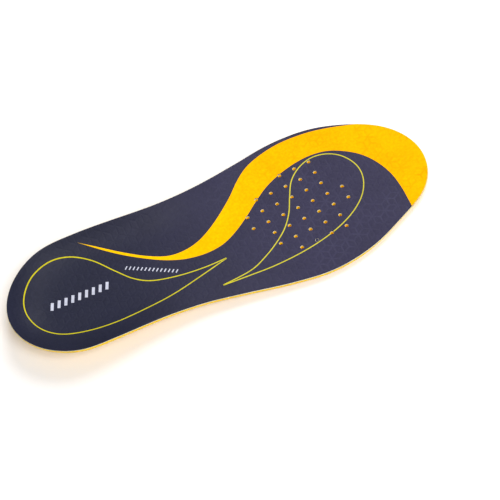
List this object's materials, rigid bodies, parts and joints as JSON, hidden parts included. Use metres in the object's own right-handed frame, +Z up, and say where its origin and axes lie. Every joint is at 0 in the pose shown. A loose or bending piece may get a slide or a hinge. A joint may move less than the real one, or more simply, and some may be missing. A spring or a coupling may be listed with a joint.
{
  "type": "cushioned insole",
  "caption": "Right shoe insole: fabric cover on a moulded foam base with heel cup, arch side, ventilation holes and a grooved heel pad set in the underside.",
  "frame": {"origin": "centre of the bounding box in plan, on the plane the underside rests on", "axes": "+X from heel to toe, +Y towards the inner (big toe) side, +Z up, from the underside to the cover"},
  "size_m": [0.272, 0.0971, 0.021],
  "materials": {
    "foam": "soft matt moulded polyurethane foam with a fine skin",
    "pad_rubber": "soft satin rubbery gel",
    "adhesive": "dull adhesive layer",
    "film": "dull hot-melt film",
    "backing": "pale non-woven backing",
    "cover_fabric": "fine smooth knit with a slight sheen",
    "yellow_print": "printed fabric with a slight sheen",
    "line_print": "printed line",
    "pale_print": "printed mark",
    "dark_print": "pad-printed mark on foam"
  },
  "bodies": {
    "root": {"foam_base": "foam", "heel_pad": "pad_rubber", "pad_adhesive": "adhesive", "bonding_film": "film", "cover_backing": "backing", "top_cover": "cover_fabric", "swoosh_print": "yellow_print", "heel_line_print": "line_print", "forefoot_line_print": "line_print", "cover_mark_print": "pale_print", "underside_mark_print": "dark_print"}
  },
  "joints": []
}
